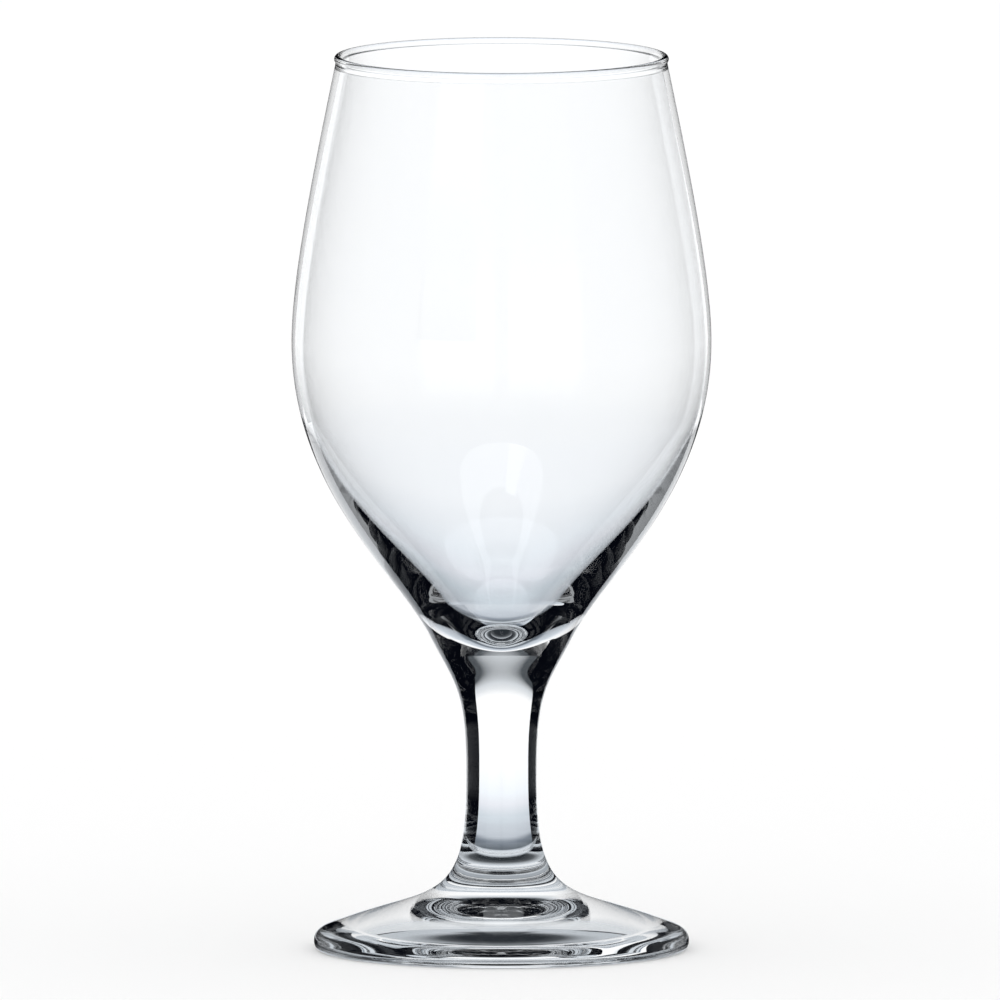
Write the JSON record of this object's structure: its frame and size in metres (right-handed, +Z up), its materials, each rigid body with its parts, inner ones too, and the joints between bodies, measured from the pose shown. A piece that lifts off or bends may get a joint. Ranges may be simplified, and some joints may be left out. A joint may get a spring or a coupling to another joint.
{
  "type": "stemmed drinking glass",
  "caption": "Clear stemmed glass with a thin egg-shaped bowl that narrows to a beaded rim, a solid waisted stem and a round sloping foot, for beer, water or wine.",
  "frame": {"origin": "on the table under the middle of the foot", "axes": "+Z up along the axis of the glass, from the foot to the rim; X and Y are any two directions across it"},
  "size_m": [0.0794, 0.0794, 0.17],
  "materials": {
    "clear_glass": "clear, fire-polished, high gloss"
  },
  "bodies": {
    "root": {"bowl": "clear_glass", "stem": "clear_glass", "foot": "clear_glass"}
  },
  "joints": []
}
